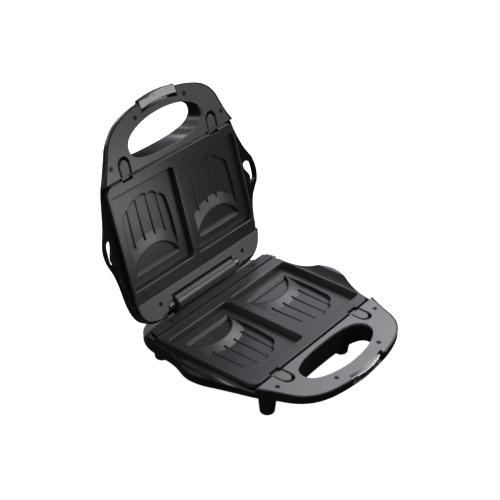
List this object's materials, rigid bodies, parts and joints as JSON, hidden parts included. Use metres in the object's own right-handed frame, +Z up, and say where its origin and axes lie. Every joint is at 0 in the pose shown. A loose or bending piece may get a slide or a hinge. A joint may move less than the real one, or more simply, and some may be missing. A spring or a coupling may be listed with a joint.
{
  "type": "sandwich maker",
  "caption": "Hinged sandwich maker, lid open: non-stick plates with fan and half-moon pockets, looped front handle, latch, release buttons, feet.",
  "frame": {"origin": "on the table, under the middle of the open appliance", "axes": "+X to the right along the hinge, -Y towards the handle, +Z up"},
  "size_m": [0.2816, 0.3378, 0.3217],
  "materials": {
    "gloss_black": "high gloss",
    "grey_trim": "satin, lightly metallic",
    "nonstick": "non-stick coating, satin",
    "release_grey": "satin",
    "bright_metal": "polished",
    "steel": "plain",
    "dark_steel": "blackened",
    "element_metal": "heat-darkened",
    "aluminium_tray": "mill",
    "black_rubber": "matte",
    "ceramic": "matte",
    "terminal": "matte",
    "red_lens": "clear tinted",
    "lamp": "clear",
    "wire": "glass-braid sleeve"
  },
  "bodies": {
    "base": {"base_shell": "gloss_black", "base_handle_cover": "gloss_black", "base_handle_frame": "grey_trim", "base_rear_frame": "grey_trim", "base_plate": "nonstick", "base_catch": "bright_metal", "base_release_springs": "steel", "base_element": "element_metal", "base_reflector": "aluminium_tray", "base_element_clips": "steel", "hinge_barrel": "gloss_black", "hinge_pins": "steel", "hinge_screws": "steel", "base_handle_screws": "dark_steel", "base_rear_screws": "dark_steel", "foot_screws": "steel", "feet": "black_rubber", "cord_inlet": "black_rubber", "terminal_block": "terminal", "terminal_screws": "steel", "thermal_fuse": "ceramic", "base_wiring": "wire"},
    "lid": {"lid_shell": "gloss_black", "lid_handle_cover": "gloss_black", "lid_handle_frame": "grey_trim", "lid_rear_frame": "grey_trim", "lid_plate": "nonstick", "lid_element": "element_metal", "lid_reflector": "aluminium_tray", "lid_element_clips": "steel", "lid_release_springs": "steel", "lid_handle_screws": "dark_steel", "lid_rear_screws": "dark_steel", "thermostat": "steel", "indicator_lenses": "red_lens", "indicator_lamps": "lamp", "lid_wiring": "wire", "latch_pin": "steel"},
    "latch": {"latch": "bright_metal"},
    "base_release_left": {"base_release_left": "release_grey"},
    "base_release_right": {"base_release_right": "release_grey"},
    "lid_release_left": {"lid_release_left": "release_grey"},
    "lid_release_right": {"lid_release_right": "release_grey"}
  },
  "joints": [
    {"name": "lid_hinge", "type": "hinge", "parent": "base", "child": "lid", "pos_m": [0, 0.08702, 0.0719], "axis": [1, 0, 0], "range_deg": [0, 106]},
    {"name": "latch_pivot", "type": "hinge", "parent": "lid", "child": "latch", "pos_m": [0, 0.15568, 0.30917], "axis": [1, 0, 0], "range_deg": [-15, 10]},
    {"name": "base_release_left_slide", "type": "slide", "parent": "base", "child": "base_release_left", "axis": [0, -1, 0], "range_m": [0, 0.0042], "stiffness_N_per_m": 400, "springref_m": -0.0005, "deforming": ["base_release_springs"]},
    {"name": "base_release_right_slide", "type": "slide", "parent": "base", "child": "base_release_right", "axis": [0, -1, 0], "range_m": [0, 0.0042], "stiffness_N_per_m": 400, "springref_m": -0.0005},
    {"name": "lid_release_left_slide", "type": "slide", "parent": "lid", "child": "lid_release_left", "axis": [0, 0.2756, 0.9613], "range_m": [0, 0.0042], "stiffness_N_per_m": 400, "springref_m": -0.0005, "deforming": ["lid_release_springs"]},
    {"name": "lid_release_right_slide", "type": "slide", "parent": "lid", "child": "lid_release_right", "axis": [0, 0.2756, 0.9613], "range_m": [0, 0.0042], "stiffness_N_per_m": 400, "springref_m": -0.0005}
  ]
}
